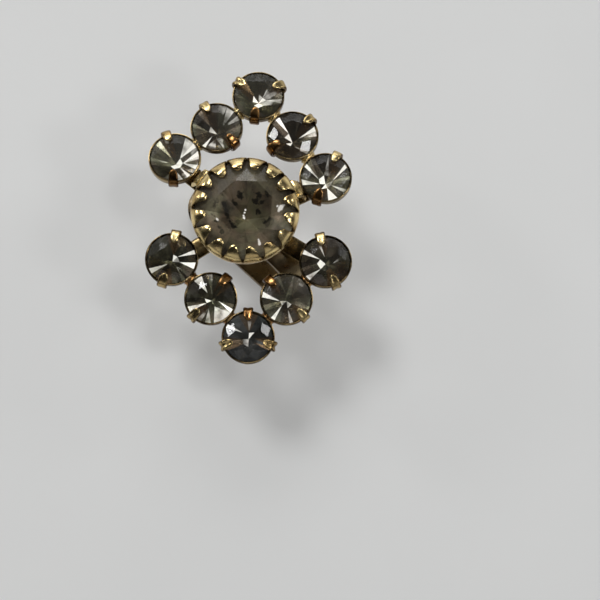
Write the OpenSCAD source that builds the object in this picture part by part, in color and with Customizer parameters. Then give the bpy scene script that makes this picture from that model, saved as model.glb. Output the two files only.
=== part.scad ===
// A cluster earring: one large round stone in a crown-toothed cup, two V-shaped
// arcs of five small stones above and below it, and a plain clip behind.
// It lies on its clip, face up. The origin is under the middle of the large
// stone, on the surface that the clip rests on. All sizes are in millimetres.

/* [Centre stone] */
// Width of the large stone across its girdle
centre_d = 8.12; // [7.8:0.02:8.2]
// Height of its crown above the girdle
centre_crown = 1.0; // [0.9:0.05:1.05]
// Depth of its pavilion below the girdle
centre_pavilion = 2.95; // [2.8:0.05:2.95]

/* [Small stones] */
// Width of a small stone across its girdle
small_d = 3.9; // [3.7:0.02:3.92]
// Height of its crown above the girdle
small_crown = 0.55; // [0.45:0.01:0.56]
// Depth of its pavilion below the girdle
small_pavilion = 1.45; // [1.3:0.05:1.45]

/* [Arcs] */
// Distance from one small stone to the next
pitch = 4.36; // [4.35:0.01:4.38]
// Distance from the middle of the large stone to the stone at an arc's point
apex_reach = 10.15; // [9.9:0.05:10.2]
// How far the upper arc is turned clockwise
upper_turn = 5; // [0:0.5:6]
// How far the lower arc is turned anticlockwise
lower_turn = 1.4; // [0:0.2:2.4]
// How far each arc is bent back from the plane of the face
arc_bend = 6; // [5:0.5:7]
// How far the small stones' girdles sit below the large stone's
arc_drop = 0.9; // [0.7:0.05:1]

/* [Crown cup] */
// Number of teeth folded over the large stone
teeth = 16; // [12:1:18]
// Outer radius of the crown cup
crown_cup_r = 4.36; // [4.34:0.01:4.45]
// Radius that the tips of the teeth reach
tooth_tip_r = 3.2; // [3.1:0.05:3.4]

/* [Small cups] */
// Outer radius of a small cup
cup_r = 2.13; // [2.12:0.01:2.14]
// Width of a prong
prong_w = 0.82; // [0.6:0.02:0.9]

/* [Clip] */
// Space between the back of the jewel and the clip's paddle
clip_gap = 5.0; // [4.5:0.1:6]
// Thickness of the clip's strip
clip_t = 0.75; // [0.6:0.05:0.9]
// Width of the paddle
paddle_w = 4.6; // [4.4:0.1:5.4]
// Width of the strip where it bends and meets the setting
neck_w = 2.6; // [2.2:0.1:3.2]
// Direction of the bend, seen from the front
clip_angle = -41; // [-46:1:-38]

/* [Hidden] */
$fn = 48;

// Faces of a stone: eight kites round the table, and the clearances round it.
facets = 8;
table_share = 0.57;
kite_share = 0.81;
lower_share = 0.28;
centre_turn = 22;
girdle_t = 0.16;
side_gap = 0.05;
seat_gap = 0.1;

// Crown cup, from the girdle of its stone.
crown_cup_flank = -0.5;
crown_neck_r = 1.5;
crown_neck_top = -2.6;
crown_hole_r = 1.1;
notch_low = -0.1;
notch_high = 0.35;
notch_top = 2;
notch_half_w = 0.28;
notch_inner_half_w = 0.44;
notch_clear = 0.3;

// Small cup, from the girdle of its stone.
cup_rim = 0.04;
cup_flank = -0.55;
cup_foot_r = 1.25;
cup_foot = -1.9;
cup_hole_r = 0.5;

// Strips that join the end cups to the crown cup.
arm_w = 1.6;
arm_t = 0.45;
arm_top = -2.7;
arm_short = 0.7;
plate_r = 2.0;
plate_hole_r = 1.0;

// Solder between neighbouring cups, and between the crown cup and the upper arc.
solder_w = 0.9;
solder_h = 0.9;
solder_reach = 0.3;
bridge_w = 1.5;

// Clip: places along its direction, from the middle of the large stone.
clip_bend_s = 3.3;
clip_length = 12;
base_round_s = -1.0;
paddle_round_s = -3.7;
paddle_shoulder_s = 4.0;
neck_s = 5.2;
overlap = 0.05;

// Heights above the surface.
base_top = clip_t + clip_gap + clip_t;
girdle_z = base_top - overlap - (arm_top - arm_t);
clip_bend_outer = base_top / 2;

// One row for each cup of an arc, from left to right: steps away from the arc's
// point, how far it is set off the even spacing, directions of its prongs, and
// turn of its stone.
STEP = 0;
SHIFT = 1;
PRONGS = 2;
TURN = 3;
UPPER = [
    [-2, [-0.1, 0.05], [112, 270], 20],
    [-1, [-0.18, 0.03], [121, 317], 22],
    [0, [-0.25, 0.1], [26, 148, 264], 26],
    [1, [-0.15, 0.05], [44, 218], 3],
    [2, [-0.15, -0.15], [65, 253], 41],
];
LOWER = [
    [-2, [0.3, 0.2], [82, 252], 14],
    [-1, [0.4, 0.15], [54, 228], 12],
    [0, [0.35, 0.15], [92, 201, 342], 25],
    [1, [0.28, 0.18], [135, 316], 30],
    [2, [0.3, 0.12], [104, 295], 27],
];

function ring(n, r, z, turn = 0) =
    [for (i = [0:n - 1]) [r * cos(turn + 360 * i / n), r * sin(turn + 360 * i / n), z]];

// Round cut: a table, kites and triangles above the girdle, and long kites with
// wedges between them below it, down to a point. The girdle is at z = 0.
module cut_stone(d, crown, pavilion, girdle) {
    n = facets;
    r = d / 2;
    half = 180 / n;
    table_r = r * table_share;
    kite_r = r * kite_share;
    lower_r = r * lower_share;
    kite_z = girdle / 2 + crown * (r - kite_r * cos(half)) / (r - table_r);
    lower_z = -girdle / 2 - pavilion * (r - lower_r * cos(half)) / r;
    points = concat(
        ring(n, table_r, girdle / 2 + crown),
        ring(n, kite_r, kite_z, half),
        ring(2 * n, r, girdle / 2),
        ring(2 * n, r, -girdle / 2),
        ring(n, lower_r, lower_z, half),
        [[0, 0, -girdle / 2 - pavilion]]
    );
    function table(i) = i % n;
    function kite(i) = n + (i + n) % n;
    function upper(i) = 2 * n + i % (2 * n);
    function under(i) = 4 * n + i % (2 * n);
    function lower(i) = 6 * n + (i + n) % n;
    point = 7 * n;
    faces = concat(
        [[for (i = [0:n - 1]) table(i)]],
        [for (i = [0:n - 1]) [table(i), kite(i), table(i + 1)]],
        [for (i = [0:n - 1]) [table(i), kite(i - 1), upper(2 * i), kite(i)]],
        [for (i = [0:n - 1]) [kite(i), upper(2 * i), upper(2 * i + 1)]],
        [for (i = [0:n - 1]) [kite(i), upper(2 * i + 1), upper(2 * i + 2)]],
        [for (j = [0:2 * n - 1]) [upper(j), under(j), under(j + 1), upper(j + 1)]],
        [for (i = [0:n - 1]) [under(2 * i), lower(i), under(2 * i + 1)]],
        [for (i = [0:n - 1]) [under(2 * i + 1), lower(i), under(2 * i + 2)]],
        [for (i = [0:n - 1]) [under(2 * i), lower(i - 1), point, lower(i)]]
    );
    polyhedron(points, [for (f = faces) [for (k = [len(f) - 1:-1:0]) f[k]]]);
}

// Height of the seat under a stone at radius r, a clearance below its facets.
function seat_z(r, d, pavilion) =
    -girdle_t / 2 - seat_gap - pavilion * (1 - cos(180 / facets) * r / (d / 2));

module centre_stone() {
    color([0.36, 0.34, 0.31, 0.9])
        translate([0, 0, girdle_z]) rotate(centre_turn)
            cut_stone(centre_d, centre_crown, centre_pavilion, girdle_t);
}

module small_stone(turn) {
    color([0.38, 0.38, 0.38, 0.9])
        rotate(turn) cut_stone(small_d, small_crown, small_pavilion, girdle_t);
}

// Middle of a cup in the plane of its arc. The side is 1 above and -1 below.
function cup_at(row, side) =
    let (
        run = pitch / sqrt(2),
        turn = side > 0 ? -upper_turn : lower_turn,
        x = row[STEP] * run,
        y = side * (apex_reach - abs(row[STEP]) * run)
    )
    [x * cos(turn) - y * sin(turn), x * sin(turn) + y * cos(turn)] + row[SHIFT];

// Places its children at a cup.
module at_cup(row, side) {
    translate([0, 0, girdle_z - arc_drop]) rotate([-side * arc_bend, 0, 0])
        translate(cup_at(row, side)) children();
}

// Wall of the crown cup in section: a cone that holds the stone, a neck under
// it, and a lip that curls in over the stone's edge.
module crown_cup_section() {
    inner_r = centre_d / 2 + side_gap;
    polygon([
        [crown_hole_r, arm_top - arm_t], [crown_neck_r, arm_top - arm_t],
        [crown_neck_r, crown_neck_top], [crown_cup_r, crown_cup_flank],
        [crown_cup_r, 0.05], [crown_cup_r - 0.07, 0.3], [crown_cup_r - 0.26, 0.53],
        [crown_cup_r - 0.6, 0.74], [tooth_tip_r, 0.98],
        [tooth_tip_r - 0.03, 0.8], [inner_r - 0.7, 0.66], [inner_r - 0.14, 0.24],
        [inner_r, 0.1], [inner_r, -girdle_t / 2 - seat_gap],
        [crown_hole_r, seat_z(crown_hole_r, centre_d, centre_pavilion)],
    ]);
}

// One gap between two teeth: a V in the wall that widens over the lip.
module tooth_gap() {
    inner_r = tooth_tip_r - notch_clear;
    outer_r = crown_cup_r + notch_clear;
    translate([inner_r, 0, 0]) rotate([90, 0, 90]) linear_extrude(outer_r - inner_r)
        polygon([
            [0, notch_low], [notch_half_w, notch_high], [notch_half_w, notch_top],
            [-notch_half_w, notch_top], [-notch_half_w, notch_high],
        ]);
    translate([0, 0, notch_high]) linear_extrude(notch_top - notch_high)
        polygon([
            [outer_r, notch_half_w], [outer_r, -notch_half_w],
            [inner_r, -notch_inner_half_w], [inner_r, notch_inner_half_w],
        ]);
}

module crown_cup() {
    translate([0, 0, girdle_z])
        difference() {
            rotate_extrude() crown_cup_section();
            for (i = [0:teeth - 1])
                rotate(90 + 360 * i / teeth) tooth_gap();
        }
}

// Outside of a small cup, solid.
module cup_body() {
    rotate_extrude()
        polygon([
            [0, cup_foot], [cup_foot_r, cup_foot], [cup_r, cup_flank],
            [cup_r, cup_rim], [0, cup_rim],
        ]);
}

// Space that a small stone takes in its cup, open at the back.
module cup_pocket() {
    inner_r = small_d / 2 + side_gap;
    rotate_extrude()
        polygon([
            [0, cup_foot - 1], [cup_hole_r, cup_foot - 1],
            [cup_hole_r, seat_z(cup_hole_r, small_d, small_pavilion)],
            [inner_r, -girdle_t / 2 - seat_gap], [inner_r, 1], [0, 1],
        ]);
}

// A prong springs from the side of the cup and is folded over the crown.
module prong(direction) {
    rotate(direction) rotate([90, 0, 0]) translate([0, 0, -prong_w / 2])
        linear_extrude(prong_w)
            polygon([
                [1.6, -1.2], [1.8, -1.2], [2.26, -0.7], [2.4, -0.3], [2.42, 0.05],
                [2.34, 0.32], [2.14, 0.52], [1.8, 0.68], [1.3, 0.82], [1.22, 0.75],
                [1.25, 0.6], [1.6, 0.45], [1.92, 0.22], [2.03, 0.06], [2.03, -0.4],
            ]);
}

// Solder between a cup and the next one.
module solder(row, next, side) {
    way = cup_at(next, side) - cup_at(row, side);
    at_cup(row, side) rotate(atan2(way[1], way[0]))
        translate([(norm(way) - solder_reach) / 2, -solder_w / 2, cup_rim - 0.15 - solder_h])
            cube([solder_reach, solder_w, solder_h]);
}

// Solder that bridges the crown cup and an end cup of the upper arc.
module bridge(row) {
    end = cup_at(row, 1);
    translate([0, 0, girdle_z]) rotate(atan2(end[1], end[0])) rotate([90, 0, 0])
        translate([0, 0, -bridge_w / 2]) linear_extrude(bridge_w)
            polygon([[3.5, -1.05], [3.9, -0.75], [4.3, -0.5], [5.1, -1.2], [5.1, -1.9], [4.4, -1.9]]);
}

module arc_bodies(rows, side) {
    for (row = rows) at_cup(row, side) cup_body();
    for (i = [0:len(rows) - 2]) solder(rows[i], rows[i + 1], side);
}

module arc_pockets(rows, side) {
    for (row = rows) at_cup(row, side) cup_pocket();
}

module arc_prongs(rows, side) {
    for (row = rows)
        at_cup(row, side)
            for (direction = row[PRONGS]) prong(direction);
}

// Strip from under the crown cup to an end cup.
module arm(row, side) {
    end = cup_at(row, side);
    rotate(atan2(end[1], end[0]))
        translate([0, -arm_w / 2, girdle_z + arm_top - arm_t])
            cube([norm(end) - arm_short, arm_w, arm_t]);
}

// The clip, seen from the side: a strip bent back under itself.
module clip_side() {
    difference() {
        union() {
            translate([clip_bend_s, clip_bend_outer]) circle(clip_bend_outer);
            translate([clip_bend_s - clip_length, 0]) square([clip_length, 2 * clip_bend_outer]);
        }
        translate([clip_bend_s, clip_bend_outer]) circle(clip_bend_outer - clip_t);
        translate([clip_bend_s - clip_length - overlap, clip_t])
            square([clip_length + overlap, 2 * (clip_bend_outer - clip_t)]);
    }
}

// The clip, seen from the front, at the height of its paddle.
module paddle_plan() {
    translate([paddle_round_s, 0]) circle(paddle_w / 2);
    polygon([
        [paddle_round_s, -paddle_w / 2], [paddle_shoulder_s, -paddle_w / 2],
        [neck_s, -neck_w / 2], [neck_s, neck_w / 2],
        [paddle_shoulder_s, paddle_w / 2], [paddle_round_s, paddle_w / 2],
    ]);
    neck_plan(paddle_round_s);
}

module neck_plan(from_s) {
    translate([from_s, -neck_w / 2])
        square([clip_bend_s + clip_bend_outer + overlap - from_s, neck_w]);
}

module base_plan() {
    translate([base_round_s, 0]) circle(neck_w / 2);
    neck_plan(base_round_s);
}

module clip() {
    rotate(clip_angle)
        intersection() {
            rotate([90, 0, 0]) translate([0, 0, -paddle_w]) linear_extrude(2 * paddle_w)
                clip_side();
            union() {
                linear_extrude(clip_bend_outer) paddle_plan();
                translate([0, 0, clip_bend_outer]) linear_extrude(clip_bend_outer) base_plan();
            }
        }
}

// All the metal: stamped cups, strips and clip, soldered into one piece.
module setting() {
    color([0.78, 0.62, 0.32]) union() {
        difference() {
            union() {
                arc_bodies(UPPER, 1);
                arc_bodies(LOWER, -1);
                for (end = [0, len(UPPER) - 1]) {
                    arm(UPPER[end], 1);
                    arm(LOWER[end], -1);
                    bridge(UPPER[end]);
                }
                translate([0, 0, girdle_z + arm_top - arm_t]) cylinder(r = plate_r, h = arm_t);
            }
            arc_pockets(UPPER, 1);
            arc_pockets(LOWER, -1);
            translate([0, 0, girdle_z + arm_top - 2 * arm_t]) cylinder(r = plate_hole_r, h = 3 * arm_t);
        }
        crown_cup();
        arc_prongs(UPPER, 1);
        arc_prongs(LOWER, -1);
        clip();
    }
}

module upper_stone(i) {
    at_cup(UPPER[i], 1) small_stone(UPPER[i][TURN]);
}

module lower_stone(i) {
    at_cup(LOWER[i], -1) small_stone(LOWER[i][TURN]);
}

setting();
centre_stone();
for (i = [0:len(UPPER) - 1]) {
    upper_stone(i);
    lower_stone(i);
}
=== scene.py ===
"""Looks of the cluster clip earring: detailed metal, faceted stones, floor, light and camera."""

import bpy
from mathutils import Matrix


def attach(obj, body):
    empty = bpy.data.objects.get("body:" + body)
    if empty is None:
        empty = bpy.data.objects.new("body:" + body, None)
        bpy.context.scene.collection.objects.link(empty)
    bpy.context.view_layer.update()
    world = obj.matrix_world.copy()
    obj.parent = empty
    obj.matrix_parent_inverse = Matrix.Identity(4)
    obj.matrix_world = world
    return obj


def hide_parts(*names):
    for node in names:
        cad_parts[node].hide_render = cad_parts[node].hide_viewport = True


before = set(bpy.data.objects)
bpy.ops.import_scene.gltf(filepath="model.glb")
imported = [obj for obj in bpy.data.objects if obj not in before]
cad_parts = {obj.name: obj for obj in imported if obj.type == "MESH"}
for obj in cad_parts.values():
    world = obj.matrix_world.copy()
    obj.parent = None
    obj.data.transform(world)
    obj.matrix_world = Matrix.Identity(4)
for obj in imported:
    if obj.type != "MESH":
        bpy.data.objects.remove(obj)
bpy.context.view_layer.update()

import math
import random
from collections import namedtuple

import bmesh
import bpy
from mathutils import Matrix, Vector, noise

MM = 0.001

# Stones, in millimetres as in the part's source
Cut = namedtuple("Cut", "diameter crown pavilion")
CENTRE_CUT = Cut(8.12, 1.0, 2.95)
SMALL_CUT = Cut(3.9, 0.55, 1.45)
FACETS = 8
CENTRE_TURN = 22
GIRDLE_T = 0.16
SIDE_GAP = 0.05
SEAT_GAP = 0.1
# Shares of the radius: where the table ends, where the kites end, and how far in from the rim the spears go
TABLE_SHARE, KITE_SHARE, LOWER_SHARE = 0.57, 0.81, 0.72

# Cups and the arcs that they stand in, in millimetres and degrees
PITCH = 4.36
APEX_REACH = 10.15
UPPER_TURN, LOWER_TURN = 5, 1.4
ARC_BEND = 6
ARC_DROP = 0.9
CUP_R = 2.13
CROWN_CUP_R = 4.36
TEETH = 16
GIRDLE_Z = 9.6

# Strips behind the cups: height of the top from the girdle, thickness, width, distance from the jewel's
# middle to the start, and from the end to the end cup's middle
ARM_TOP, ARM_T, ARM_W = -2.7, 0.45, 1.6
ARM_START, ARM_SHORT = 1.2, 0.7

# The clip. Places along it are measured from under the middle of the large stone.
CLIP_T = 0.75
CLIP_GAP = 5.0
CLIP_ANGLE = -41
CLIP_BEND_S = 3.3
PADDLE_W, NECK_W = 4.6, 2.6
PADDLE_ROUND_S, PADDLE_SHOULDER_S, NECK_S, BASE_ROUND_S = -3.7, 4.0, 5.2, -1.0

UP, DOWN = 1, -1

# Prong shading: plain gilt where it faces the light, and painted shade, a darker and warmer copy of the gilt,
# where it faces the gap.
BRIGHT, SHADED = "bright", "warm"

# Where on a stone's foil a facet flashes: in the wedges at its rim or in the facets round its point
RIM, CULET = "rim", "culet"

# A prong: its direction, whether it is lit or in painted shade, and how deep it is grooved, from 0 to 1
Prong = namedtuple("Prong", "direction finish groove")

# A cup of an arc: steps from the arc's point, shift off the even spacing, turn of its stone, lightness of its
# stone's painted reflections, its prongs, and its stone's painted flashes as (direction, where)
Cup = namedtuple("Cup", "step shift turn light prongs flashes")
UPPER = [
    Cup(-2, (-0.1, 0.05), 20, 0.66, [Prong(112, BRIGHT, 0.0), Prong(270, SHADED, 0.3)],
        [(16, RIM), (-20, RIM), (-53, RIM), (25, CULET), (240, CULET)]),
    Cup(-1, (-0.18, 0.03), 22, 0.39, [Prong(121, BRIGHT, 0.2), Prong(317, SHADED, 0.0)],
        [(141, CULET), (-70, RIM), (-120, RIM)]),
    Cup(0, (-0.25, 0.1), 26, 0.38, [Prong(26, BRIGHT, 0.1), Prong(148, BRIGHT, 0.9), Prong(264, SHADED, 0.2)],
        [(170, CULET), (10, CULET), (-120, CULET), (-60, CULET), (-100, RIM)]),
    Cup(1, (-0.15, 0.05), 3, 0.25, [Prong(44, BRIGHT, 0.4), Prong(218, SHADED, 0.0)],
        [(150, CULET), (18, RIM), (-85, RIM), (135, RIM), (230, CULET)]),
    Cup(2, (-0.15, -0.15), 41, 0.39, [Prong(65, BRIGHT, 0.0), Prong(253, SHADED, 0.2)],
        [(152, RIM), (191, RIM), (150, CULET), (-75, CULET), (-73, RIM), (35, RIM)]),
]
LOWER = [
    Cup(-2, (0.3, 0.2), 14, 0.21, [Prong(82, BRIGHT, 0.2), Prong(252, BRIGHT, 0.2)],
        [(21, RIM), (-15, RIM), (212, RIM), (70, CULET)]),
    Cup(-1, (0.4, 0.15), 12, 0.40, [Prong(54, SHADED, 0.0), Prong(228, BRIGHT, 0.6)],
        [(12, RIM), (-26, RIM), (207, RIM), (122, RIM), (200, CULET)]),
    Cup(0, (0.35, 0.15), 25, 0.32, [Prong(92, SHADED, 0.4), Prong(201, BRIGHT, 1.0), Prong(342, BRIGHT, 1.0)],
        [(155, RIM), (80, CULET)]),
    Cup(1, (0.28, 0.18), 30, 0.43, [Prong(135, SHADED, 0.0), Prong(316, BRIGHT, 0.3)],
        [(174, RIM), (236, RIM), (230, CULET), (300, CULET)]),
    Cup(2, (0.3, 0.12), 27, 0.24, [Prong(104, BRIGHT, 0.2), Prong(295, BRIGHT, 0.5)],
        [(162, RIM), (226, RIM), (190, CULET)]),
]


# Mesh helpers. A part is its points in millimetres, its faces, and the painted shade of each point from 0 to
# 1.
MERGE_DISTANCE = 1e-8


def share(value, low, high):
    """How far a value has come from low to high, held between 0 and 1. Low may be the larger of the two."""
    return min(1, max(0, (value - low) / (high - low)))


def new_object(name, mesh, materials):
    obj = bpy.data.objects.new(name, mesh)
    bpy.context.scene.collection.objects.link(obj)
    for material in materials:
        mesh.materials.append(material)
    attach(obj, "root")
    return obj


def turn_faces_out(mesh, merge=False):
    bm = bmesh.new()
    bm.from_mesh(mesh)
    if merge:
        bmesh.ops.remove_doubles(bm, verts=bm.verts, dist=MERGE_DISTANCE)
    bmesh.ops.recalc_face_normals(bm, faces=bm.faces)
    bm.to_mesh(mesh)
    bm.free()


def mesh_from(name, part, smooth_angle):
    """A mesh from a part, with outward normals and smooth shading up to an angle."""
    points, faces, painted_shade = part
    mesh = bpy.data.meshes.new(name)
    mesh.from_pydata([tuple(c * MM for c in p) for p in points], [], faces)
    mesh.attributes.new("painted_shade", "FLOAT", "POINT").data.foreach_set("value", painted_shade)
    turn_faces_out(mesh, merge=True)
    mesh.shade_smooth()
    mesh.set_sharp_from_angle(angle=math.radians(smooth_angle))
    return mesh


def grid_faces(rows, columns, wrap_rows=False, wrap_columns=False):
    faces = []
    for i in range(rows if wrap_rows else rows - 1):
        for j in range(columns if wrap_columns else columns - 1):
            a, b = i * columns, (i + 1) % rows * columns
            k = (j + 1) % columns
            faces.append((a + j, a + k, b + k, b + j))
    return faces


def lathe(profile, columns):
    """A closed section turned about the Z axis. A corner of it is its radius, height and painted shade."""
    points, painted_shade = [], []
    for r, z, shade_amount in profile:
        for j in range(columns):
            a = 2 * math.pi * j / columns
            points.append((r * math.cos(a), r * math.sin(a), z))
            painted_shade.append(shade_amount)
    return points, grid_faces(len(profile), columns, wrap_rows=True, wrap_columns=True), painted_shade


def tube(rings, painted_shade):
    """Rings of as many points each, skinned and closed at both ends."""
    around = len(rings[0])
    faces = grid_faces(len(rings), around, wrap_columns=True)
    faces += [tuple(range(around))[::-1], tuple(range((len(rings) - 1) * around, len(rings) * around))]
    return [tuple(p) for ring in rings for p in ring], faces, painted_shade


def oval(around, across_power=1.0, thick_power=1.0):
    """Points round a section, as (across, thick) from -1 to 1: a circle, or boxier with powers below 1."""
    points = []
    for j in range(around):
        a = 2 * math.pi * j / around
        across = math.copysign(abs(math.cos(a)) ** across_power, math.cos(a))
        thick = math.copysign(abs(math.sin(a)) ** thick_power, math.sin(a))
        points.append((across, thick))
    return points


def smooth_path(corners, steps, fine_steps=12):
    """A curve through the corners, given as (radius, height), as evenly spaced points."""
    pts = [Vector((r, 0, z)) for r, z in corners]
    pts = [2 * pts[0] - pts[1]] + pts + [2 * pts[-1] - pts[-2]]
    fine = []
    for i in range(1, len(pts) - 2):
        p0, p1, p2, p3 = pts[i - 1 : i + 3]
        for k in range(fine_steps):
            t = k / fine_steps
            fine.append(
                0.5 * (2 * p1 + (p2 - p0) * t + (2 * p0 - 5 * p1 + 4 * p2 - p3) * t * t
                       + (3 * p1 - p0 - 3 * p2 + p3) * t ** 3)
            )
    fine.append(pts[-2])
    length = [0]
    for a, b in zip(fine, fine[1:]):
        length.append(length[-1] + (b - a).length)
    even, i = [], 0
    for k in range(steps):
        want = length[-1] * k / (steps - 1)
        while i < len(fine) - 2 and length[i + 1] < want:
            i += 1
        gap = length[i + 1] - length[i]
        even.append(fine[i].lerp(fine[i + 1], (want - length[i]) / gap if gap else 0))
    return even


def heading(line, i):
    """Direction of a line at one of its points."""
    return (line[min(i + 1, len(line) - 1)] - line[max(i - 1, 0)]).normalized()


def join(parts):
    """Several parts as one."""
    points, faces, painted_shade = [], [], []
    for p, f, d in parts:
        start = len(points)
        points += p
        faces += [tuple(start + i for i in face) for face in f]
        painted_shade += d
    return points, faces, painted_shade


def moved(part, matrix):
    return [tuple(matrix @ Vector(p)) for p in part[0]], *part[1:]


def turned(degrees, axis="Z"):
    return Matrix.Rotation(math.radians(degrees), 4, axis)


def direction_of(point):
    """Direction of a point as seen from above, in degrees."""
    return math.degrees(math.atan2(point.y, point.x))


def degrees_apart(a, b):
    return abs((a - b + 180) % 360 - 180)


AT_GIRDLE = Matrix.Translation((0, 0, GIRDLE_Z))


def cup_at(cup, side):
    """Middle of a cup in the plane of its arc."""
    run = PITCH / math.sqrt(2)
    turn = math.radians(-UPPER_TURN if side == UP else LOWER_TURN)
    x, y = cup.step * run, side * (APEX_REACH - abs(cup.step) * run)
    return Vector((
        x * math.cos(turn) - y * math.sin(turn) + cup.shift[0],
        x * math.sin(turn) + y * math.cos(turn) + cup.shift[1],
        0,
    ))


def cup_matrix(cup, side):
    lift = Matrix.Translation((0, 0, GIRDLE_Z - ARC_DROP))
    return lift @ turned(-side * ARC_BEND, "X") @ Matrix.Translation(cup_at(cup, side))


# Material helpers. A value is a node's socket, a colour or a number.
def node_material(name):
    material = bpy.data.materials.new(name)
    material.use_nodes = True
    tree = material.node_tree
    return material, tree, tree.nodes["Principled BSDF"]


def plug(tree, value, socket):
    if isinstance(value, bpy.types.NodeSocket):
        tree.links.new(value, socket)
    elif isinstance(value, tuple):
        socket.default_value = (*value, 1)
    else:
        socket.default_value = value


def noise_field(tree, scale, detail, offset=(0, 0, 0), stretch=(1, 1, 1)):
    """Noise over the object's own coordinates. The scale is in spots a millimetre."""
    place = tree.nodes.new("ShaderNodeTexCoord")
    mapping = tree.nodes.new("ShaderNodeMapping")
    mapping.inputs["Location"].default_value = offset
    mapping.inputs["Scale"].default_value = stretch
    field = tree.nodes.new("ShaderNodeTexNoise")
    field.inputs["Scale"].default_value = scale / MM
    field.inputs["Detail"].default_value = detail
    plug(tree, place.outputs["Object"], mapping.inputs["Vector"])
    plug(tree, mapping.outputs["Vector"], field.inputs["Vector"])
    return field.outputs["Fac"]


def ramp(tree, source, stops):
    """A colour ramp over a 0 to 1 field. A stop is (place, colour)."""
    node = tree.nodes.new("ShaderNodeValToRGB")
    elements = node.color_ramp.elements
    while len(elements) > 1:
        elements.remove(elements[-1])
    for i, (place, colour) in enumerate(stops):
        element = elements[0] if i == 0 else elements.new(place)
        element.position = place
        element.color = (*colour, 1)
    plug(tree, source, node.inputs["Fac"])
    return node.outputs["Color"]


def span(tree, source, low, high, from_low=0.3, from_high=0.7):
    """A field stretched to run from low to high."""
    node = tree.nodes.new("ShaderNodeMapRange")
    for name, value in (("From Min", from_low), ("From Max", from_high), ("To Min", low), ("To Max", high)):
        node.inputs[name].default_value = value
    plug(tree, source, node.inputs["Value"])
    return node.outputs["Result"]


def combine(tree, operation, a, b, clamp=False):
    """Two values joined by a math operation."""
    node = tree.nodes.new("ShaderNodeMath")
    node.operation = operation
    node.use_clamp = clamp
    plug(tree, a, node.inputs[0])
    plug(tree, b, node.inputs[1])
    return node.outputs[0]


def mix(tree, a, b, factor, blend="MIX"):
    """Two colours mixed by a factor."""
    node = tree.nodes.new("ShaderNodeMix")
    node.data_type = "RGBA"
    node.blend_type = blend
    for value, socket in ((factor, node.inputs[0]), (a, node.inputs[6]), (b, node.inputs[7])):
        plug(tree, value, socket)
    return node.outputs[2]


def bump(tree, source, height):
    """A bump whose height is in millimetres."""
    node = tree.nodes.new("ShaderNodeBump")
    node.inputs["Distance"].default_value = height * MM
    node.inputs["Strength"].default_value = 1.0
    plug(tree, source, node.inputs["Height"])
    return node.outputs["Normal"]


def painted(tree, name):
    """A value painted on the mesh in code, from 0 to 1."""
    node = tree.nodes.new("ShaderNodeAttribute")
    node.attribute_name = name
    return node.outputs["Fac"]


# How far the edge of a spot strays, in radii: that of worn foil or a glint, and that of a stone's part kept
# free of painted shade
RAGGED_EDGE, UNSHADED_EDGE = 0.85, 0.12
# Where the edge of a spot starts and ends, in radii
SPOT_EDGE = (0.7, 1.25)


def near_spots(tree, spots, ragged=RAGGED_EDGE):
    """1 inside any of the spots and 0 outside. A spot is (x, y, radius) in millimetres."""
    place = tree.nodes.new("ShaderNodeTexCoord").outputs["Object"]
    stray = span(tree, noise_field(tree, 2.4, 4, (4, 4, 4)), -ragged, ragged)
    nearest = None
    for x, y, radius in spots:
        offset = tree.nodes.new("ShaderNodeVectorMath")
        offset.operation = "MULTIPLY_ADD"
        offset.inputs[1].default_value = (1 / (radius * MM), 1 / (radius * MM), 0)
        offset.inputs[2].default_value = (-x / radius, -y / radius, 0)
        plug(tree, place, offset.inputs[0])
        length = tree.nodes.new("ShaderNodeVectorMath")
        length.operation = "LENGTH"
        plug(tree, offset.outputs["Vector"], length.inputs[0])
        away = length.outputs["Value"]
        nearest = away if nearest is None else combine(tree, "MINIMUM", nearest, away)
    return span(tree, combine(tree, "ADD", nearest, stray), 1, 0, *SPOT_EDGE)


# Materials
# Painted shade on the rim of the large stone under the crown cup's teeth
SHADE_UNDER_TEETH = (0.035, 0.022, 0.012)
GOLD_MIRRORED = (0.20, 0.115, 0.045)
BARE_BACKING = (0.006, 0.005, 0.004)
BLACK = (0, 0, 0)
FLASH_LIGHT = (1, 0.98, 0.9)
GLINT_LIGHT = (1, 0.98, 0.92)
PINK_TINT, GREEN_TINT = (1.0, 0.90, 0.94), (0.90, 1.0, 0.92)
FLOOR_DARK, FLOOR_PALE = (0.56, 0.565, 0.56), (0.58, 0.585, 0.58)
FLOOR_LIGHT, FLOOR_GLOW = (1, 1, 0.99), 0.215


def gilt_material(name, bright, worn, deep, rough=(0.16, 0.34), dents=0.012):
    """Worn gilt: bright plate, browner where it is rubbed, and darkened with painted shade in the recesses,
    along edges and under parts.
    """
    material, tree, shader = node_material(name)
    colour = ramp(tree, noise_field(tree, 0.55, 4), [(0.36, worn), (0.52, bright), (0.72, bright)])
    patches = span(tree, noise_field(tree, 2.2, 3, (3, 1, 0)), 0.75, 1.15)
    # Painted shade: the colour goes towards the deep one where the mesh is painted dark, in recesses, along
    # edges and under parts
    painted_shade = combine(tree, "MULTIPLY", painted(tree, "painted_shade"), patches, clamp=True)
    plug(tree, mix(tree, colour, deep, painted_shade), shader.inputs["Base Color"])
    shader.inputs["Metallic"].default_value = 1.0
    plug(tree, span(tree, noise_field(tree, 1.7, 5, (0, 7, 2)), *rough), shader.inputs["Roughness"])
    plug(tree, bump(tree, noise_field(tree, 1.3, 5, (5, 0, 3)), dents), shader.inputs["Normal"])
    return material


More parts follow.
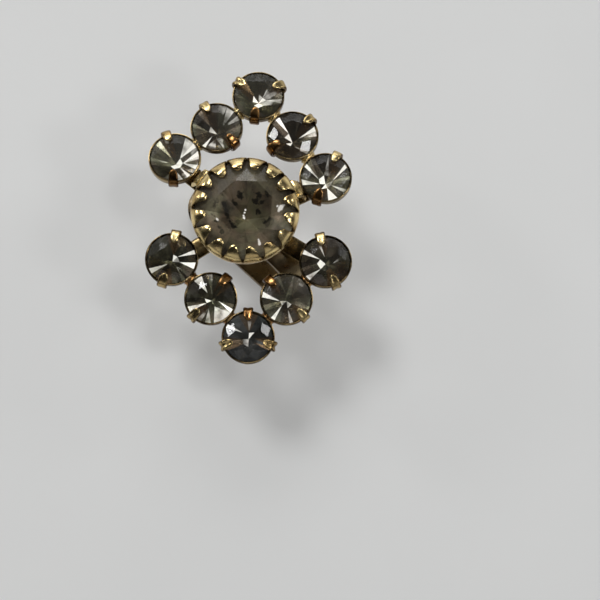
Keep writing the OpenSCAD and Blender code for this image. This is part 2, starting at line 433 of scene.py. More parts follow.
def glass_material(name, dim, pale, body, ior, rough, unshaded=()):
    """A stone's glass: clear but for a little body, which is paler on some facets as a painted reflection,
    with faint smears. Outside the unshaded spots, painted shade lies on it."""
    material, tree, shader = node_material(name)
    smears = span(tree, noise_field(tree, 0.6, 4, (2, 4, 1), stretch=(1, 2.2, 1)), 0.7, 1.3)
    colour = ramp(tree, combine(tree, "MULTIPLY", painted(tree, "tone"), smears), [(0, dim), (1, pale)])
    if unshaded:
        colour = mix(tree, SHADE_UNDER_TEETH, colour, near_spots(tree, unshaded, UNSHADED_EDGE))
    plug(tree, colour, shader.inputs["Base Color"])
    shader.inputs["Alpha"].default_value = body
    shader.inputs["IOR"].default_value = ior
    plug(tree, span(tree, noise_field(tree, 0.7, 1, (0, 3, 8)), *rough), shader.inputs["Roughness"])
    return material


def foil_material(name, stops, mottle, rough, metal, glow, flash_at=0.75, worn=(), glints=(), unshaded=()):
    """Foil behind a stone. Each facet has a tone of its own, a painted reflection of another part of the
    room, and it glows above flash_at as a painted highlight. The tones are mottled. Dark spots show where the
    foil has worn off, and glowing ones, painted highlights, where the glass is chipped or scratched and where
    the crown catches the light. Outside the unshaded spots there is painted shade."""
    material, tree, shader = node_material(name)
    mottling = span(tree, noise_field(tree, 0.5, 4), -mottle, mottle)
    tone = combine(tree, "ADD", painted(tree, "tone"), mottling)
    light = ramp(tree, tone, [(flash_at, BLACK), (1, FLASH_LIGHT)])
    tints = ramp(tree, noise_field(tree, 0.5, 2, (8, 2, 6)), [(0.42, PINK_TINT), (0.58, GREEN_TINT)])
    colour = mix(tree, ramp(tree, tone, stops), tints, 1.0, "MULTIPLY")
    colour = mix(tree, colour, GOLD_MIRRORED, painted(tree, "warm"))
    if worn:
        colour = mix(tree, colour, BARE_BACKING, near_spots(tree, worn))
    if unshaded:
        colour = mix(tree, SHADE_UNDER_TEETH, colour, near_spots(tree, unshaded, UNSHADED_EDGE))
    # Painted highlights: the glowing spots
    if glints:
        light = mix(tree, light, GLINT_LIGHT, near_spots(tree, glints))
    plug(tree, colour, shader.inputs["Base Color"])
    shader.inputs["Metallic"].default_value = metal
    plug(tree, span(tree, noise_field(tree, 1.2, 3, (1, 1, 5)), *rough), shader.inputs["Roughness"])
    plug(tree, light, shader.inputs["Emission Color"])
    shader.inputs["Emission Strength"].default_value = glow
    return material


def floor_material():
    """A pale card with a faint grain, which glows a little so that its shadows stay soft."""
    material, tree, shader = node_material("floor_card")
    grain = ramp(tree, noise_field(tree, 0.05, 4), [(0.3, FLOOR_DARK), (0.7, FLOOR_PALE)])
    plug(tree, grain, shader.inputs["Base Color"])
    shader.inputs["Roughness"].default_value = 0.8
    shader.inputs["Specular IOR Level"].default_value = 0.2
    plug(tree, FLOOR_LIGHT, shader.inputs["Emission Color"])
    shader.inputs["Emission Strength"].default_value = FLOOR_GLOW
    return material


# Spots on the large stone, as (x, y, radius): where its foil has worn off
WORN_FOIL = [
    (1.04, 0.5, 0.27), (0.88, 1.33, 0.36), (1.2, 1.2, 0.2), (1.76, 1.87, 0.3), (1.84, -0.5, 0.36),
    (1.6, -0.45, 0.24), (-1.76, 0.85, 0.26), (-1.55, 0.4, 0.17), (-1.52, 0.1, 0.17), (-1.4, -0.2, 0.17),
    (-1.28, -0.43, 0.17), (-1.1, -0.65, 0.16), (-0.9, -0.85, 0.2), (-0.48, 1.75, 0.26), (-2.5, 0.82, 0.3),
    (-2.6, -0.2, 0.15), (-2.4, -0.7, 0.17), (-2.1, -1.15, 0.2), (-1.84, -1.5, 0.22), (-0.9, 1.1, 0.2),
]
# Painted highlights: it glows where its glass is chipped or scratched, and where its crown catches the light
GLINT_SPOTS = [
    (-0.06, 0.66, 0.06), (-0.13, 0.48, 0.08), (-0.2, 0.28, 0.07), (-0.14, 0.1, 0.09), (2.8, 0.5, 0.22),
    (2.55, 0.72, 0.12), (-2.24, -0.48, 0.1), (1.14, -2.05, 0.06), (1.18, -2.22, 0.09), (1.22, -2.4, 0.1),
    (1.26, -2.56, 0.1),
]
# Where it is kept free of the painted shade that lies under the teeth
UNSHADED_MIDDLE = [(0, 0, 3.55)]

GILT = gilt_material("gilt", bright=(0.92, 0.72, 0.35), worn=(0.60, 0.42, 0.18), deep=(0.07, 0.034, 0.012),
                     dents=0.006)
# Painted shade: a darker, warmer copy of the gilt, for prongs that face the gap and for the lower arc's
# solder
GILT_SHADED_WARM = gilt_material("gilt_shaded_warm", bright=(0.42, 0.23, 0.085), worn=(0.22, 0.11, 0.04),
                          deep=(0.05, 0.022, 0.008))
# Painted shade: a darker copy of the gilt, for the small cups, the ledge inside the crown cup and the strips
# behind
GILT_CUP_SHADED = gilt_material("gilt_cup_shaded", bright=(0.46, 0.35, 0.17), worn=(0.20, 0.135, 0.06),
                         deep=(0.035, 0.022, 0.011))
# Painted shade: a darker copy of the gilt, for the clip that lies in shade behind the jewel
GILT_CLIP_SHADED = gilt_material("gilt_clip_shaded", bright=(0.34, 0.26, 0.15), worn=(0.20, 0.14, 0.08),
                          deep=(0.05, 0.035, 0.02), rough=(0.22, 0.42))
CENTRE_TABLE = glass_material("centre_table", dim=(0.05, 0.043, 0.03), pale=(0.13, 0.115, 0.08), body=0.17,
                              ior=1.9, rough=(0.02, 0.08))
CENTRE_CROWN = glass_material("centre_crown", dim=(0.09, 0.078, 0.053), pale=(0.33, 0.285, 0.185), body=0.38,
                              ior=1.7, rough=(0.15, 0.2), unshaded=UNSHADED_MIDDLE)
CENTRE_FOIL = foil_material(
    "centre_foil", [(0, (0.04, 0.034, 0.021)), (0.6, (0.46, 0.39, 0.255)), (1, (0.56, 0.50, 0.37))],
    mottle=0.45, rough=(0.25, 0.4), metal=0.6, glow=0.9, flash_at=0.97,
    worn=WORN_FOIL, glints=GLINT_SPOTS, unshaded=UNSHADED_MIDDLE)
SMALL_GLASS = glass_material("small_glass", dim=(0.01, 0.01, 0.009), pale=(0.16, 0.15, 0.13), body=0.28,
                             ior=2.2, rough=(0.09, 0.13))
SMALL_FOIL = foil_material(
    "small_foil", [(0, (0.045, 0.033, 0.019)), (0.3, (0.13, 0.11, 0.069)), (0.55, (0.25, 0.222, 0.152)),
                   (0.8, (0.44, 0.40, 0.295)), (1, (0.96, 0.93, 0.83))],
    mottle=0.22, rough=(0.16, 0.3), metal=0.75, glow=1.1)
COOL_FOIL = foil_material(
    "cool_foil", [(0, (0.028, 0.034, 0.034)), (0.3, (0.098, 0.118, 0.114)), (0.55, (0.21, 0.24, 0.23)),
                  (0.8, (0.40, 0.41, 0.38)), (1, (0.92, 0.94, 0.92))],
    mottle=0.22, rough=(0.16, 0.3), metal=0.75, glow=1.0)
COOL_STONE = "lower_stone_3"


# Metal. The noise that makes its dents is seeded, so that each run gives the same ones.
DENTS_SEED = 1
DENTS_PER_MM = 1.4
noise.seed_set(DENTS_SEED)


def metal_piece(name, part, material, smooth_angle=40, ripple=0.012):
    """A metal piece with small uneven dents, as stamped and soldered metal has. The ripple is their depth."""
    points, faces, painted_shade = part
    uneven = [Vector(p) + ripple * noise.noise_vector(Vector(p) * DENTS_PER_MM) for p in points]
    obj = new_object(name, mesh_from(name, (uneven, faces, painted_shade), smooth_angle), [material])
    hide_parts("setting")
    return obj


def seat_z(r, cut):
    """Height of the seat under a stone at radius r, a clearance below its facets."""
    return -GIRDLE_T / 2 - SEAT_GAP - cut.pavilion * (1 - r / (cut.diameter / 2))


# Painted shade on the rims of the small cups. The one at the upper left is left without it, so that it shows
# bright.
UNSHADED_RIM, SHADED_RIM = 0.0, 0.7
CUP_COLUMNS, CROWN_COLUMNS = 72, 96


def small_cup_part(rim_shade):
    """A small cup: a cone with a thin rolled rim, open at the back."""
    inner_r = SMALL_CUT.diameter / 2 + SIDE_GAP
    seat = [(r, seat_z(r, SMALL_CUT), 0.9) for r in (1.7, 1.3, 0.9, 0.5)]
    # The third number of each corner is its painted shade: about half outside, and most inside under the
    # stone
    return lathe([
        (0.5, -1.9, 0.8), (1.2, -1.9, 0.6), (1.25, -1.87, 0.5), (1.6, -1.36, 0.5), (1.95, -0.84, 0.5),
        (2.09, -0.6, 0.5), (CUP_R, -0.5, 0.45), (CUP_R, -0.25, rim_shade), (CUP_R, -0.05, rim_shade),
        (CUP_R, 0.0, rim_shade), (CUP_R - 0.02, 0.04, rim_shade), (CUP_R - 0.06, 0.05, rim_shade),
        (inner_r + 0.01, 0.02, 0.8), (inner_r, -0.03, 0.9), (inner_r, -0.1, 0.9), (inner_r, -0.18, 0.9),
        *seat,
    ], CUP_COLUMNS)


# A prong's middle line from its root to its tip, as (radius, height) in its cup
PRONG_LINE = [
    (1.98, -1.05), (2.12, -0.75), (2.26, -0.4), (2.29, -0.02), (2.22, 0.27), (2.04, 0.45),
    (1.78, 0.57), (1.5, 0.66), (1.27, 0.74),
]
PRONG_W, PRONG_T = 0.82, 0.26
PRONG_STEPS, PRONG_AROUND, PRONG_POWERS = 30, 28, (0.6, 0.75)
# Shares of its width: at its root, and by how much it narrows towards its tip
PRONG_ROOT, PRONG_TAPER = 0.8, 0.22
# Shares of its width and thickness that its round tip keeps at least
TIP_LEAST_W, TIP_LEAST_T = 0.12, 0.25
# Shares of its length: where its width and groove are full, where it starts to narrow, where its tip starts
# to round, and where its groove starts to run out
PRONG_FULL_AT, PRONG_TAPER_AT, PRONG_ROUND_AT, GROOVE_END_AT = 0.3, 0.55, 0.8, 0.88
# Its groove's half width and depth, against the prong's
GROOVE_W, GROOVE_DEPTH = 0.42, 1.15
# Painted shade on its top, on its climb, in its groove, along its sides and under it
TOP_SHADE, CLIMB_SHADE, GROOVE_SHADE, SIDE_SHADE, UNDER_SHADE = 0.02, 0.45, 0.6, 0.7, 0.8
# Where the climb's painted shade fades, in shares of the length, where that of the sides starts, in half
# widths, and where the underside starts, in half thicknesses
CLIMB_FADES, SIDE_FROM, UNDER_FROM = (0.58, 0.78), 0.6, -0.3


def prong_part(prong):
    """A prong: a band that climbs the cup and is folded over the stone, grooved along its middle."""
    line = smooth_path(PRONG_LINE, PRONG_STEPS)
    rings, painted_shade = [], []
    for i, centre in enumerate(line):
        t = i / (PRONG_STEPS - 1)
        ahead = heading(line, i)
        out = Vector((ahead.z, 0, -ahead.x))
        tip = math.sqrt(1 - share(t, PRONG_ROUND_AT, 1) ** 2)
        taper = PRONG_ROOT + (1 - PRONG_ROOT) * share(t, 0, PRONG_FULL_AT)
        taper -= PRONG_TAPER * share(t, PRONG_TAPER_AT, 1)
        half_w = PRONG_W / 2 * taper * max(tip, TIP_LEAST_W)
        half_t = PRONG_T / 2 * max(tip, TIP_LEAST_T)
        groove = prong.groove * share(t, 0, PRONG_FULL_AT) * share(t, 1, GROOVE_END_AT)
        climb_shade = CLIMB_SHADE * (1 - share(t, *CLIMB_FADES))
        ring = []
        for across, thick in oval(PRONG_AROUND, *PRONG_POWERS):
            hollow = groove * math.exp(-((across / GROOVE_W) ** 2))
            if thick > 0:
                thick -= GROOVE_DEPTH * hollow
            ring.append(centre + Vector((0, half_w * across, 0)) + out * half_t * thick)
            side_shade = SIDE_SHADE * share(abs(across), SIDE_FROM, 1)
            shade_amount = min(1, TOP_SHADE + climb_shade + GROOVE_SHADE * hollow + side_shade)
            painted_shade.append(shade_amount if thick > UNDER_FROM else UNDER_SHADE)
        rings.append(ring)
    return moved(tube(rings, painted_shade), turned(prong.direction))


# The crown cup's wall below its petals, and a petal's line from its root to its tip, as (radius, height)
CROWN_WALL = [
    (1.5, -3.12), (1.5, -2.62), (1.6, -2.5), (2.6, -1.78), (3.6, -1.05), (4.2, -0.63), (4.34, -0.46),
]
PETAL_LINE = [
    (CROWN_CUP_R, -0.3), (CROWN_CUP_R, 0.0), (4.32, 0.25), (4.2, 0.5), (3.98, 0.73), (3.7, 0.9),
    (3.42, 0.99), (3.2, 0.96), (3.05, 0.86),
]
CROWN_SEED = 5
PETAL_STEPS = 14
PETAL_COLUMNS = 12
PETAL_T = 0.17
# How much shorter a petal is at its sides than along its middle, as a share, and how square its end is
PETAL_ROUND, PETAL_SQUARE = 0.22, 0.96
# Painted shade on the wall below the petals, on the petals, and more towards their edges
WALL_SHADE, PETAL_SHADE, PETAL_EDGE_SHADE = 0.5, 0.05, 0.8
# Petals by number, anticlockwise from the top: those folded less, with how far they reach and lift, and the
# broad ones, whose backs are flatter
LESS_FOLDED = {8: (0.92, 0.05), 9: (0.80, 0.16), 10: (0.78, 0.18), 11: (0.90, 0.08)}
BROAD = (13, 14, 15, 0, 1)
BROAD_RIDGE, NARROW_RIDGE = 0.05, 0.08
# How uneven the petals are in their reach, their lift and their direction
REACH_VARIES, LIFT_VARIES, SWAY_VARIES = (-0.06, 0.04), (-0.01, 0.04), (-0.035, 0.035)


def petal_half_width(u, broad):
    """Half the width of a petal, as a share of its place round the cup, from its root to its tip."""
    narrowing, power = (0.4, 0.7) if broad else (0.5, 0.8)
    return 1 - narrowing * share(u, 0.25, 1) ** power


def petal_part(number, line, rng):
    """A petal and the stretch of wall below it."""
    broad = number in BROAD
    middle = math.radians(90 + (number + 0.5) * 360 / TEETH)
    reach, lift = LESS_FOLDED.get(number, (1, 0))
    reach *= 1 + rng.uniform(*REACH_VARIES)
    lift += rng.uniform(*LIFT_VARIES)
    sway = rng.uniform(*SWAY_VARIES)
    ridge = BROAD_RIDGE if broad else NARROW_RIDGE
    rows, columns = len(CROWN_WALL) + PETAL_STEPS, PETAL_COLUMNS + 1
    points, painted_shade = [], []
    for i in range(rows):
        u = max(0, i - len(CROWN_WALL)) / (PETAL_STEPS - 1)
        for j in range(columns):
            s = 2 * j / PETAL_COLUMNS - 1
            if i < len(CROWN_WALL):
                r, z = CROWN_WALL[i]
                painted_shade.append(WALL_SHADE)
            else:
                end = 1 - PETAL_ROUND * (1 - math.sqrt(1 - s * s * PETAL_SQUARE))
                place = u * (1 + (reach * end - 1) * u) * (PETAL_STEPS - 1)
                low = min(int(place), PETAL_STEPS - 2)
                at = line[low].lerp(line[low + 1], place - low)
                r, z = at.x, at.z + lift * u * u - ridge * abs(s) ** 1.5 * share(u, 0, 0.4)
                painted_shade.append(PETAL_SHADE + PETAL_EDGE_SHADE * s ** 6 * min(1, 3 * u))
            angle = middle + s * math.pi / TEETH * petal_half_width(u, broad) + sway * u * u
            points.append((r * math.cos(angle), r * math.sin(angle), z))
    return points, grid_faces(rows, columns), painted_shade


def make_crown_cup():
    """The crown cup's outer skin: a cone whose rim is cut into petals, folded over the stone."""
    rng = random.Random(CROWN_SEED)
    line = smooth_path(PETAL_LINE, PETAL_STEPS)
    petals = join([petal_part(number, line, rng) for number in range(TEETH)])
    obj = metal_piece("crown_cup", moved(petals, AT_GIRDLE), GILT, smooth_angle=180, ripple=0.01)
    wall = obj.modifiers.new("wall", "SOLIDIFY")
    wall.thickness = PETAL_T * MM
    wall.offset = -1
    smooth = obj.modifiers.new("smooth", "SUBSURF")
    smooth.levels = smooth.render_levels = 1


def crown_seat_part():
    """Inside of the crown cup: the ledge under the stone's edge, darkened with painted shade, and the neck
    below it.
    """
    inner_r, hole_r = CENTRE_CUT.diameter / 2 + SIDE_GAP, 1.1
    return lathe([
        (hole_r, -3.15, 0.8), (1.45, -3.15, 0.8), (1.45, -2.6, 0.8), (4.15, -0.62, 0.8), (4.2, -0.3, 0.7),
        (4.19, 0.1, 0.6), (inner_r, 0.1, 0.6), (inner_r, -0.18, 0.7),
        (hole_r, seat_z(hole_r, CENTRE_CUT), 0.9),
    ], CROWN_COLUMNS)


# Solder between two cups: its length, its radius half-way and how that widens to its ends, its height against
# its width, how far its middle is below the girdle, and its painted shade
SOLDER_LENGTH, SOLDER_R, SOLDER_FLARE = 0.3, 0.58, 4
SOLDER_FLAT, SOLDER_Z, SOLDER_SHADE = 0.95, -0.55, 0.3


def solder_part(cup, after, side):
    """A blob of solder between two cups: a short thick rod, wider at its ends."""
    way = cup_at(after, side) - cup_at(cup, side)
    steps, around, rings = 9, 16, []
    for i in range(steps):
        x = (i / (steps - 1) - 0.5) * SOLDER_LENGTH
        swell = SOLDER_R + SOLDER_FLARE * x * x
        rings.append([(x, swell * across, SOLDER_FLAT * swell * thick) for across, thick in oval(around)])
    turn = turned(direction_of(way))
    place = Matrix.Translation(Vector((0, 0, SOLDER_Z)) + turn @ Vector((way.length / 2, 0, 0)))
    return moved(tube(rings, [SOLDER_SHADE] * steps * around), cup_matrix(cup, side) @ place @ turn)


# Bridges of solder from the crown cup down to the two end cups of the upper arc, as (distance out, height)
BRIDGE_LINE = [(3.6, -1.2), (3.95, -0.72), (4.3, -0.38), (4.65, -0.5), (4.93, -0.95), (5.1, -1.6)]
# The last is the painted shade on the bridges, kept low so that they show bright
BRIDGE_W, BRIDGE_T, BRIDGE_POWERS, BRIDGE_SHADE = 1.8, 0.5, (0.7, 0.8), 0.05
# Its width half-way and how much wider it is at its ends, as shares, and how far its middle lies below its
# line, in half thicknesses
BRIDGE_WAIST, BRIDGE_FLARE, BRIDGE_SUNK = 0.86, 0.16, 0.9


def bridge_part(cup):
    """A thick sheet of solder, wider at the cups that it joins."""
    steps, around, rings = 7, 10, []
    line = smooth_path(BRIDGE_LINE, steps)
    for i, centre in enumerate(line):
        t = 2 * i / (steps - 1) - 1
        ahead = heading(line, i)
        out = Vector((-ahead.z, 0, ahead.x))
        half_w = BRIDGE_W / 2 * (BRIDGE_WAIST + BRIDGE_FLARE * t * t)
        rings.append([
            centre + Vector((0, half_w * across, 0)) + out * BRIDGE_T / 2 * (thick - BRIDGE_SUNK)
            for across, thick in oval(around, *BRIDGE_POWERS)
        ])
    part = tube(rings, [BRIDGE_SHADE] * steps * around)
    return moved(part, AT_GIRDLE @ turned(direction_of(cup_at(cup, UP))))


# Painted shade on the strips behind the cups
ARM_POWERS, ARM_SHADE = (0.5, 0.6), 0.45


def arm_part(cup, side):
    """A strip with rounded edges from under the crown cup to an end cup."""
    end = cup_at(cup, side)
    length = end.length - ARM_SHORT
    steps, around, rings = 24, 20, []
    for i in range(steps):
        x = ARM_START + (length - ARM_START) * i / (steps - 1)
        rings.append([
            (x, ARM_W / 2 * across, GIRDLE_Z + ARM_TOP - ARM_T / 2 * (1 - thick))
            for across, thick in oval(around, *ARM_POWERS)
        ])
    return moved(tube(rings, [ARM_SHADE] * steps * around), turned(direction_of(end)))


# Outline of the clip's strip with eased edges: side, height as a share of half its thickness, and inset
CLIP_SECTION = [
    (1, -0.6, 0), (1, 0, 0), (1, 0.6, 0), (1, 0.88, 0.04), (1, 1, 0.14), (0, 1, 0),
    (-1, 1, 0.14), (-1, 0.88, 0.04), (-1, 0.6, 0), (-1, 0, 0), (-1, -0.6, 0), (-1, -0.88, 0.04),
    (-1, -1, 0.14), (0, -1, 0), (1, -1, 0.14), (1, -0.88, 0.04),
]
CLIP_OUTER_R = CLIP_T + CLIP_GAP / 2
CLIP_MIDDLE_R = CLIP_OUTER_R - CLIP_T / 2
PADDLE_STEPS, BEND_STEPS, NECK_STEPS = 40, 36, 14
# Painted shade on the clip, which lies behind the jewel
CLIP_SHADE = 0.2
# The least half width of its eased edges, and the square of that of its round ends
LEAST_EDGE, LEAST_END_SQUARED = 0.02, 0.02


def clip_line():
    """The middle of the strip from the paddle's end round the bend to the neck's end. Each point comes with
    the direction of the strip's outer side."""
    line = []
    paddle_end, neck_end = PADDLE_ROUND_S - PADDLE_W / 2, BASE_ROUND_S - NECK_W / 2
    for k in range(PADDLE_STEPS):
        s = paddle_end + (CLIP_BEND_S - paddle_end) * k / PADDLE_STEPS
        line.append((Vector((s, 0, -CLIP_MIDDLE_R)), Vector((0, 0, -1))))
    for k in range(BEND_STEPS + 1):
        a = math.pi * k / BEND_STEPS
        out = Vector((math.sin(a), 0, -math.cos(a)))
        line.append((Vector((CLIP_BEND_S, 0, 0)) + CLIP_MIDDLE_R * out, out))
    for k in range(1, NECK_STEPS + 1):
        s = CLIP_BEND_S + (neck_end - CLIP_BEND_S) * k / NECK_STEPS
        line.append((Vector((s, 0, CLIP_MIDDLE_R)), Vector((0, 0, 1))))
    return line


def clip_half_width(centre):
    """Half the strip's width at a point of its line: a round-ended paddle, then a narrower neck."""
    above = centre.z > 0
    half, round_s = (NECK_W / 2, BASE_ROUND_S) if above else (PADDLE_W / 2, PADDLE_ROUND_S)
    if centre.x < round_s:
        return math.sqrt(max(LEAST_END_SQUARED, half ** 2 - (centre.x - round_s) ** 2))
    if above:
        return half
    return half + (NECK_W / 2 - half) * share(centre.x, PADDLE_SHOULDER_S, NECK_S)


def clip_part():
    """The clip: one strip with a leaf-shaped paddle, bent back under the jewel."""
    rings = []
    for centre, out in clip_line():
        half = clip_half_width(centre)
        rings.append([
            centre + Vector((0, max(half - inset, LEAST_EDGE) * side, 0)) + out * CLIP_T / 2 * thick
            for side, thick, inset in CLIP_SECTION
        ])
    part = tube(rings, [CLIP_SHADE] * len(rings) * len(CLIP_SECTION))
    return moved(part, turned(CLIP_ANGLE) @ Matrix.Translation((0, 0, CLIP_OUTER_R)))


# Stones. The table, the rest of the crown and the pavilion take the look's three materials in turn.
TABLE, CROWN, PAVILION = 0, 1, 2
WEDGES = 4 * FACETS

# How a stone looks: its materials, the record's slot, the range of its sectors' tones, and the share of the
# facets round its point and at its rim that are light
Look = namedtuple("Look", "materials slot tones light_share")

# How uneven the corners below are: those at the rim in wedges, and those round the point in radii and radians
WEDGE_VARIES, INNER_VARIES, INNER_TURN_VARIES = (-0.25, 0.25), (-0.06, 0.08), (-0.1, 0.1)

# A facet's tone, from 0, dark, to 1, a flash. The others differ from their sector's tone by a factor.
FLASH_TONE, LIGHT_TONE, TONE_VARIES = 1.0, 0.72, (0.7, 1.3)
# Where a facet's middle is, in radii: below the girdle, among the facets round the point, among the wedges
BELOW_Z, POINT_WITHIN, WEDGES_BEYOND = -0.02, 0.3, 0.6
# How near to a flash's direction such a middle has to be, in degrees
FLASH_REACH = {RIM: 6, CULET: 23}
# How much gold a facet at a prong mirrors, how near to the prong it is in degrees, and how far out in radii
PRONG_MIRRORED, MIRROR_REACH, MIRROR_BEYOND = 0.75, 17, 0.5


def circle(count, radius, z, turn=0.0):
    """Points round the Z axis."""
    angles = [turn + 2 * math.pi * i / count for i in range(count)]
    return [(radius * math.cos(a), radius * math.sin(a), z) for a in angles]


def stone_points(cut, rng):
    """Corners of a cut stone: those of the table, the outer ones of the kites, the girdle's upper and lower
    ones, those round the point, and the point."""
    r, half, girdle = cut.diameter / 2, math.pi / FACETS, GIRDLE_T / 2
    kite_z = girdle + cut.crown * (1 - KITE_SHARE * math.cos(half)) / (1 - TABLE_SHARE)
    points = circle(FACETS, r * TABLE_SHARE, girdle + cut.crown)
    points += circle(FACETS, r * KITE_SHARE, kite_z, half)
    points += circle(2 * FACETS, r, girdle)
    for i in range(WEDGES):
        angle = 2 * math.pi * (i + rng.uniform(*WEDGE_VARIES)) / WEDGES
        points.append((r * math.cos(angle), r * math.sin(angle), -girdle))
    for i in range(FACETS):
        reach = 1 - LOWER_SHARE + rng.uniform(*INNER_VARIES)
        angle = 2 * math.pi * i / FACETS + half + rng.uniform(*INNER_TURN_VARIES)
        z = -girdle - cut.pavilion * (1 - reach)
        points.append((reach * r * math.cos(angle), reach * r * math.sin(angle), z))
    points.append((0, 0, -girdle - cut.pavilion))
    return points


def stone_faces():
    """Faces of a cut stone above and below its lower edge. Above are a table, stars, kites, triangles and the
    girdle. Below are eight facets round the point, eight spears between, and wedges at the rim."""
    n = FACETS

    def table(i):
        return i % n

    def kite(i):
        return n + i % n

    def upper(i):
        return 2 * n + i % (2 * n)

    def under(i):
        return 4 * n + i % WEDGES

    def inner(i):
        return 4 * n + WEDGES + i % n

    point = 5 * n + WEDGES
    top, bottom = [tuple(table(i) for i in range(n))], []
    for i in range(n):
        top += [
            (table(i), kite(i), table(i + 1)), (table(i), kite(i - 1), upper(2 * i), kite(i)),
            (kite(i), upper(2 * i), upper(2 * i + 1)), (kite(i), upper(2 * i + 1), upper(2 * i + 2)),
        ]
        bottom += [(point, inner(i), inner(i - 1)), (inner(i - 1), inner(i), under(4 * i))]
        bottom += [(inner(i), under(j + 1), under(j)) for j in range(4 * i, 4 * i + 4)]
    for j in range(2 * n):
        top.append((upper(j), under(2 * j), under(2 * j + 1), under(2 * j + 2), upper(j + 1)))
    return top, bottom


def facet_tone(rng, middle, sector, flashes, light_share):
    """How bright a facet is, by its middle in radii. The wedge or point facet in a flash's direction is the
    brightest, a few others like it are light, and the rest are near the tone of their sector."""
    out = math.hypot(middle.x, middle.y)
    if middle.z < BELOW_Z and not POINT_WITHIN < out < WEDGES_BEYOND:
        where = RIM if out >= WEDGES_BEYOND else CULET
        place = direction_of(middle)
        if any(kind == where and degrees_apart(place, way) < FLASH_REACH[where] for way, kind in flashes):
            return FLASH_TONE
        if rng.random() < light_share:
            return LIGHT_TONE
    return sector * rng.uniform(*TONE_VARIES)


def mirrors_prong(middle, prongs):
    """How much of a prong's gold a facet mirrors."""
    nearest = min((degrees_apart(direction_of(middle), prong.direction) for prong in prongs), default=180)
    near = nearest < MIRROR_REACH and math.hypot(middle.x, middle.y) > MIRROR_BEYOND
    return PRONG_MIRRORED if near else 0.0


def stone_piece(name, cut, place, turn, look, seed, flashes=(), prongs=()):
    """A stone as one closed mesh, in place of the model's stone of that name."""
    rng = random.Random(seed)
    top, bottom = stone_faces()
    points, faces = moved((stone_points(cut, rng), top + bottom), turned(turn))
    tones, warmths = [], []
    sectors = [rng.uniform(*look.tones) for _ in range(FACETS)]
    for face in faces:
        middle = sum((Vector(points[i]) for i in face), Vector()) / len(face) / (cut.diameter / 2)
        sector = sectors[int((direction_of(middle) - turn) * FACETS / 360) % FACETS]
        tones.append(facet_tone(rng, middle, sector, flashes, look.light_share))
        warmths.append(0 if tones[-1] == FLASH_TONE else mirrors_prong(middle, prongs))
    mesh = bpy.data.meshes.new(name)
    mesh.from_pydata([tuple((place @ Vector(p)) * MM) for p in points], [], faces)
    kinds = [TABLE] + [CROWN] * (len(top) - 1) + [PAVILION] * len(bottom)
    mesh.polygons.foreach_set("material_index", kinds)
    mesh.attributes.new("tone", "FLOAT", "FACE").data.foreach_set("value", tones)
    mesh.attributes.new("warm", "FLOAT", "FACE").data.foreach_set("value", warmths)
    turn_faces_out(mesh)
    obj = new_object(name + "_cut", mesh, look.materials)
    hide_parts(name)


# The jewel. A small stone's painted reflection tones run between these two factors of its lightness.
DARKEST, LIGHTEST = 0.3, 1.6
SMALL_LIGHT_SHARE = 0.12
CENTRE_TONES = (0.22, 0.46)


def make_centre():
    """The large stone in its cup, and the clip behind it."""
    make_crown_cup()
    metal_piece("crown_seat", moved(crown_seat_part(), AT_GIRDLE), GILT_CUP_SHADED)
    bridges = [bridge_part(UPPER[0]), bridge_part(UPPER[-1])]
    metal_piece("crown_bridges", join(bridges), GILT, smooth_angle=15, ripple=0.12)
    metal_piece("clip", clip_part(), GILT_CLIP_SHADED, ripple=0.01)
    look = Look([CENTRE_TABLE, CENTRE_CROWN, CENTRE_FOIL], "centre_glass", CENTRE_TONES, light_share=0)
    stone_piece("centre_stone", CENTRE_CUT, AT_GIRDLE, CENTRE_TURN, look, seed=1)


def make_small_stone(name, cup, place, seed):
    foil = COOL_FOIL if name == COOL_STONE else SMALL_FOIL
    tones = DARKEST * cup.light, LIGHTEST * cup.light
    look = Look([SMALL_GLASS, SMALL_GLASS, foil], "small_glass", tones, SMALL_LIGHT_SHARE)
    stone_piece(name, SMALL_CUT, place, cup.turn, look, seed, cup.flashes, cup.prongs)


def make_arc(cups, side, word):
    """Everything of an arc: its cups, prongs and stones, its solder, and the two strips behind."""
    for i, cup in enumerate(cups):
        place = cup_matrix(cup, side)
        rim_shade = UNSHADED_RIM if i == 0 and side == UP else SHADED_RIM
        metal_piece(f"{word}_cup_{i + 1}", moved(small_cup_part(rim_shade), place), GILT_CUP_SHADED)
        for finish, material in ((BRIGHT, GILT), (SHADED, GILT_SHADED_WARM)):
            parts = [prong_part(prong) for prong in cup.prongs if prong.finish == finish]
            if parts:
                metal_piece(f"{word}_prongs_{i + 1}_{finish}", moved(join(parts), place), material,
                            smooth_angle=60, ripple=0.015)
        make_small_stone(f"{word}_stone_{i + 1}", cup, place, seed=10 * side + i)
    solders = join([solder_part(cup, after, side) for cup, after in zip(cups, cups[1:])])
    # The lower arc's solder is in painted shade, a darker copy of the gilt
    metal_piece(f"{word}_solder", solders, GILT if side == UP else GILT_SHADED_WARM, smooth_angle=180, ripple=0.03)
    arms = join([arm_part(cups[0], side), arm_part(cups[-1], side)])
    metal_piece(f"{word}_arms", arms, GILT_CUP_SHADED, ripple=0.01)


# Camera: its angles, its distance from the face and what it aims at there in millimetres, its lens and sensor
CAMERA_ROLL, CAMERA_TILT, CAMERA_YAW = -2.4, -14.5, -2.0
CAMERA_DISTANCE = 200
FACE_HEIGHT = 9.4
AIM_RIGHT, AIM_DOWN = 4.392, 7.136
LENS, SENSOR = 150, 36
# The nearest and farthest that it sees, in metres
SEES_FROM, SEES_TO = 0.01, 50


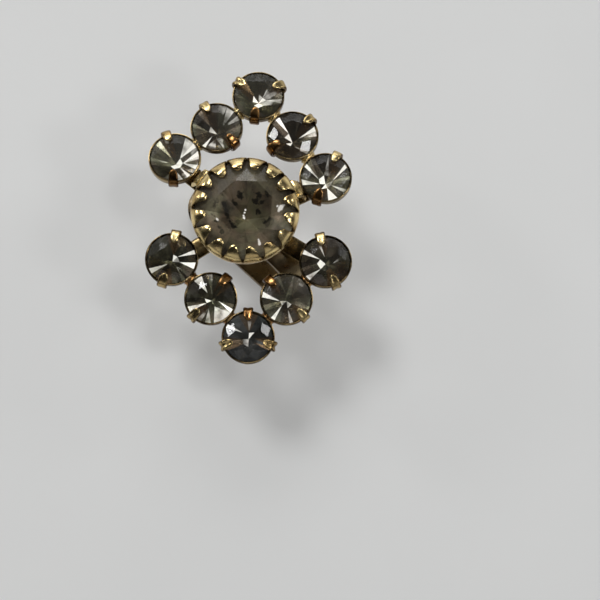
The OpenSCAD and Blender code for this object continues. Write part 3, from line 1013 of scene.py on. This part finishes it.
def make_camera():
    """The photograph's camera: below the face's normal by its tilt, as far away as its perspective says."""
    axes = (turned(CAMERA_ROLL) @ turned(CAMERA_TILT, "X") @ turned(CAMERA_YAW, "Y")).to_3x3()
    right, up, back = axes.row[0], axes.row[1], axes.row[2]
    face = Vector((0, 0, FACE_HEIGHT))
    place = face + CAMERA_DISTANCE * back
    aim = face + AIM_RIGHT * right - AIM_DOWN * up
    z = (place - aim).normalized()
    x = up.cross(z).normalized()
    y = z.cross(x)
    camera = bpy.data.objects.new("camera", bpy.data.cameras.new("camera"))
    camera.data.lens, camera.data.sensor_width = LENS, SENSOR
    camera.data.clip_start, camera.data.clip_end = SEES_FROM, SEES_TO
    camera.matrix_world = Matrix.Translation(place * MM) @ Matrix((x, y, z)).transposed().to_4x4()
    bpy.context.scene.collection.objects.link(camera)
    bpy.context.scene.camera = camera


# Floor: its radius in metres and its corners
FLOOR_R, FLOOR_CORNERS = 4, 96


def make_floor():
    mesh = bpy.data.meshes.new("floor")
    bm = bmesh.new()
    bmesh.ops.create_circle(bm, cap_ends=True, radius=FLOOR_R, segments=FLOOR_CORNERS)
    bm.to_mesh(mesh)
    bm.free()
    mesh.materials.append(floor_material())
    floor = bpy.data.objects.new("floor", mesh)
    bpy.context.scene.collection.objects.link(floor)


# Soft boxes: azimuth from +X and elevation in degrees, distance, width and height in metres, and the
# brightness of the panel
SoftBox = namedtuple("SoftBox", "azimuth elevation distance width height brightness")
SOFT_BOXES = {
    "key": SoftBox(124, 51, 0.55, 0.17, 0.17, 16),
    "overhead": SoftBox(15, 64, 0.55, 0.10, 0.10, 15),
    "left_window": SoftBox(155, 21, 0.60, 0.10, 0.08, 18),
    "right_window": SoftBox(25, 24, 0.60, 0.10, 0.08, 11),
    "front_right": SoftBox(342, 39, 0.60, 0.10, 0.10, 16),
    "front_wall": SoftBox(270, 24, 0.60, 1.20, 0.30, 0.4),
    "back": SoftBox(90, 14, 0.80, 0.60, 0.22, 1.1),
    "north_window": SoftBox(95, 34, 0.60, 0.36, 0.16, 4.3),
}


def make_lights():
    """The soft boxes as oval area lights. A panel's power is pi times its brightness and its area."""
    target = Vector((0, 0, GIRDLE_Z * MM))
    for name, box in SOFT_BOXES.items():
        data = bpy.data.lights.new(name, "AREA")
        data.shape = "ELLIPSE"
        data.size, data.size_y = box.width, box.height
        data.energy = box.brightness * math.pi * math.pi * box.width * box.height / 4
        light = bpy.data.objects.new(name, data)
        toward = turned(box.azimuth) @ turned(-box.elevation, "Y") @ Vector((1, 0, 0))
        light.location = target + toward * box.distance
        light.rotation_mode = "QUATERNION"
        light.rotation_quaternion = toward.to_track_quat("Z", "Y")
        light.visible_camera = False
        bpy.context.scene.collection.objects.link(light)


def grey(lightness):
    return lightness, lightness, lightness


def make_world():
    """A dim room with a pale wall low all round, brightest beyond the jewel's top."""
    scene = bpy.context.scene
    world = bpy.data.worlds.new("room")
    scene.world = world
    world.use_nodes = True
    tree = world.node_tree
    place = tree.nodes.new("ShaderNodeTexCoord")
    split = tree.nodes.new("ShaderNodeSeparateXYZ")
    plug(tree, place.outputs["Generated"], split.inputs[0])
    wall = ramp(tree, span(tree, split.outputs["Z"], 0, 1, -0.05, 0.6),
                [(0.0, grey(1)), (0.3, grey(0.6)), (0.7, grey(0.12)), (1.0, grey(0.07))])
    beyond = ramp(tree, span(tree, split.outputs["Y"], 0, 1, -1, 1),
                  [(0.0, grey(0.08)), (0.5, grey(0.14)), (1.0, grey(0.9))])
    plug(tree, mix(tree, wall, beyond, 1.0, "MULTIPLY"), tree.nodes["Background"].inputs["Color"])
    scene.view_settings.view_transform = "Standard"


make_camera()
make_floor()
make_lights()
make_world()
make_centre()
make_arc(UPPER, UP, "upper")
make_arc(LOWER, DOWN, "lower")
